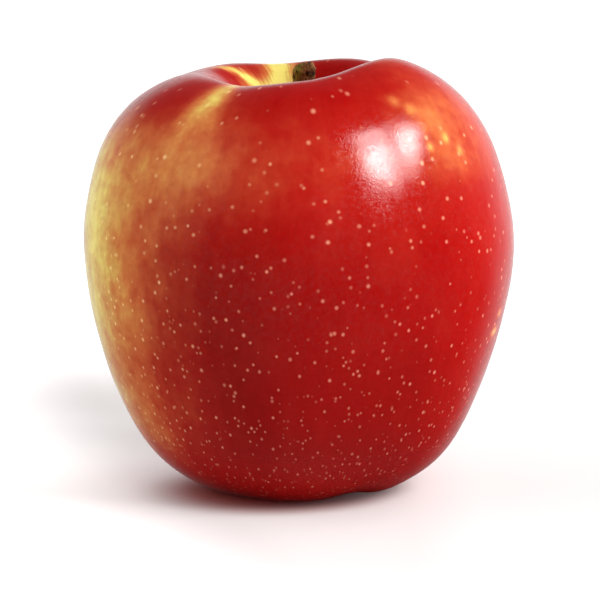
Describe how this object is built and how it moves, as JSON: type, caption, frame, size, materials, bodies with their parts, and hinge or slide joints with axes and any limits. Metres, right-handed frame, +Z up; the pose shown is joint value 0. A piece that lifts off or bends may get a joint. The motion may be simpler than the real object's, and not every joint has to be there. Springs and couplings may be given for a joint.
{
  "type": "red apple",
  "caption": "Whole red apple, tall and slightly conic with soft lobes, a short knobbed stem in a deep hollow and a dried calyx in its base, standing on its low feet.",
  "frame": {"origin": "on the surface that the apple stands on, under the middle of the fruit", "axes": "+Z up from the calyx to the stem, -Y towards the front, +X to the right as seen from the front"},
  "size_m": [0.0797, 0.0798, 0.0804],
  "materials": {
    "skin": "waxy gloss apple skin, crimson with yellow-green ground colour and pale lenticels",
    "stem_wood": "rough green-brown bark with a dark cut scar",
    "dry_sepal": "dry, downy, brown-green",
    "dry_stamen": "withered, dark brown"
  },
  "bodies": {
    "root": {"fruit": "skin", "stem": "stem_wood", "calyx": "dry_sepal", "stamens": "dry_stamen"}
  },
  "joints": []
}
